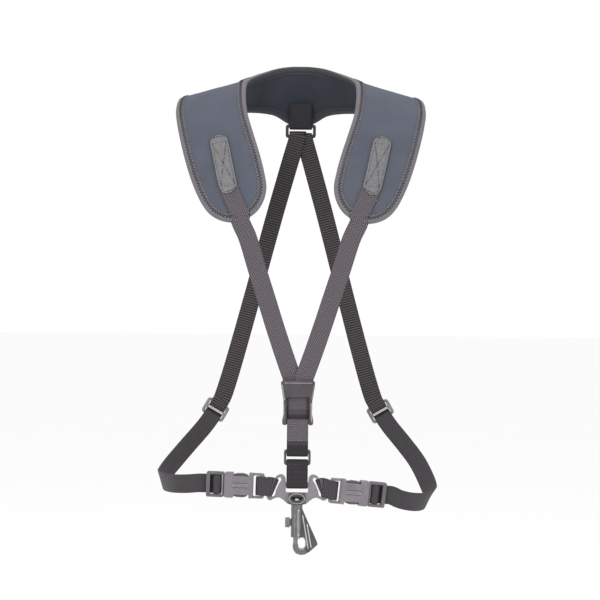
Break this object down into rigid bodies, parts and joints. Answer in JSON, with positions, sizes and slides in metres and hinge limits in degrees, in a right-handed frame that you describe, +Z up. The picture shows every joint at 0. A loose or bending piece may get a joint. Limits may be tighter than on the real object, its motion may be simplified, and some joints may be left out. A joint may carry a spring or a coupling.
{
  "type": "chest carrying harness",
  "caption": "Padded shoulder yoke with crossing rear straps, V front straps, side-release buckles and a swivel snap hook that carries an instrument or optics on the chest",
  "frame": {"origin": "on the shoulder line, midway between the two shoulder pads, where the wearer's shoulders carry the yoke", "axes": "+X to the right side seen from the front, -Y to the front (chest side, where the hook is), +Z up"},
  "size_m": [0.3465, 0.1928, 0.5971],
  "materials": {
    "neoprene": "closed-cell neoprene with a smooth knit face, slate blue-grey",
    "binding_tape": "folded elastic edge tape, mid grey, zigzag stitched",
    "leather_patch": "grained light grey leather patch, dark stitching",
    "black_webbing": "ribbed black woven webbing",
    "charcoal_webbing": "charcoal twill-woven webbing with a soft sheen",
    "buckle_plastic": "moulded acetal, fine matte texture, mid grey",
    "slider_plastic": "moulded acetal, fine matte texture, dark grey",
    "ring_plastic": "moulded acetal, satin black-grey",
    "slide_plastic": "moulded plastic slide with a polished bar",
    "plate_plastic": "moulded acetal plate, matte mid grey",
    "hook_plastic": "glass-filled moulded plastic, glossy gunmetal grey",
    "steel": "plated steel"
  },
  "bodies": {
    "root": {"arm_binding": "binding_tape", "centre_strap": "charcoal_webbing", "left_buckle_socket": "buckle_plastic", "left_front_strap": "charcoal_webbing", "left_link_loop": "charcoal_webbing", "left_patch": "leather_patch", "left_rear_strap": "black_webbing", "left_side_strap": "charcoal_webbing", "neck_binding": "binding_tape", "neck_ring": "ring_plastic", "neck_tab": "black_webbing", "right_buckle_socket": "buckle_plastic", "right_front_strap": "charcoal_webbing", "right_link_loop": "charcoal_webbing", "right_patch": "leather_patch", "right_rear_strap": "black_webbing", "right_side_strap": "charcoal_webbing", "yoke_pad": "neoprene"},
    "lower_front": {"centre_ring": "slider_plastic", "lower_loop": "charcoal_webbing", "slider_loop": "charcoal_webbing", "hook_plate": "plate_plastic"},
    "front_slider_body": {"front_slider": "slider_plastic"},
    "hook": {"hook_body": "hook_plastic", "swivel_stud": "steel"},
    "plunger_body": {"plunger": "hook_plastic", "thumb_knob": "hook_plastic", "plunger_spring": "steel"},
    "left_plug_body": {"left_buckle_plug": "buckle_plastic"},
    "left_arm_upper_body": {"left_release_arm_upper": "buckle_plastic"},
    "left_arm_lower_body": {"left_release_arm_lower": "buckle_plastic"},
    "left_rear_slide_body": {"left_rear_slide": "slide_plastic"},
    "right_plug_body": {"right_buckle_plug": "buckle_plastic"},
    "right_arm_upper_body": {"right_release_arm_upper": "buckle_plastic"},
    "right_arm_lower_body": {"right_release_arm_lower": "buckle_plastic"},
    "right_rear_slide_body": {"right_rear_slide": "slide_plastic"}
  },
  "joints": [
    {"name": "lower_front_drop", "type": "slide", "parent": "root", "child": "lower_front", "axis": [0, 0, -1], "range_m": [0, 0.015], "deforming": ["centre_strap", "left_link_loop", "right_link_loop"]},
    {"name": "front_slider_slide", "type": "slide", "parent": "lower_front", "child": "front_slider_body", "axis": [0, 0, -1], "range_m": [0, 0.015], "deforming": ["slider_loop"]},
    {"name": "hook_swivel", "type": "hinge", "parent": "lower_front", "child": "hook", "pos_m": [0, -0.1022, -0.495], "axis": [0, 0, 1], "continuous": true},
    {"name": "plunger_slide", "type": "slide", "parent": "hook", "child": "plunger_body", "axis": [0, 0, 1], "range_m": [0, 0.0074], "stiffness_N_per_m": 300, "springref_m": -0.004, "deforming": ["plunger_spring"]},
    {"name": "left_buckle_release", "type": "slide", "parent": "root", "child": "left_plug_body", "axis": [-0.9983, 0.0523, 0.0262], "range_m": [0, 0.034], "deforming": ["left_side_strap", "left_release_arm_upper", "left_release_arm_lower"]},
    {"name": "left_arm_upper_press", "type": "hinge", "parent": "left_plug_body", "child": "left_arm_upper_body", "pos_m": [-0.08367, -0.09981, -0.46561], "axis": [0.0523, 0.9986, -0.0014], "range_deg": [0, 7], "stiffness_Nm_per_rad": 0.05, "springref_deg": -2.86},
    {"name": "left_arm_lower_press", "type": "hinge", "parent": "left_plug_body", "child": "left_arm_lower_body", "pos_m": [-0.08417, -0.09981, -0.4846], "axis": [-0.0523, -0.9986, 0.0014], "range_deg": [0, 7], "stiffness_Nm_per_rad": 0.05, "springref_deg": -2.86},
    {"name": "left_rear_slide_adjust", "type": "slide", "parent": "root", "child": "left_rear_slide_body", "axis": [0.2746, -0.03, 0.9611], "range_m": [0, 0.04], "deforming": ["left_rear_strap", "left_side_strap"]},
    {"name": "right_buckle_release", "type": "slide", "parent": "root", "child": "right_plug_body", "axis": [0.9689, 0.2249, -0.1028], "range_m": [0, 0.034], "deforming": ["right_side_strap", "right_release_arm_upper", "right_release_arm_lower"]},
    {"name": "right_arm_upper_press", "type": "hinge", "parent": "right_plug_body", "child": "right_arm_upper_body", "pos_m": [0.0834, -0.09194, -0.47564], "axis": [0.2238, -0.9744, -0.0237], "range_deg": [0, 7], "stiffness_Nm_per_rad": 0.05, "springref_deg": -2.86},
    {"name": "right_arm_lower_press", "type": "hinge", "parent": "right_plug_body", "child": "right_arm_lower_body", "pos_m": [0.08139, -0.09194, -0.49454], "axis": [-0.2238, 0.9744, 0.0237], "range_deg": [0, 7], "stiffness_Nm_per_rad": 0.05, "springref_deg": -2.86},
    {"name": "right_rear_slide_adjust", "type": "slide", "parent": "root", "child": "right_rear_slide_body", "axis": [-0.2746, -0.03, 0.9611], "range_m": [0, 0.04], "deforming": ["right_rear_strap", "right_side_strap"]}
  ],
  "couplings": [
    {"joint": "front_slider_slide", "follows": "lower_front_drop", "ratio": 1},
    {"joint": "left_arm_lower_press", "follows": "left_arm_upper_press", "ratio": 1},
    {"joint": "right_arm_lower_press", "follows": "right_arm_upper_press", "ratio": 1}
  ]
}
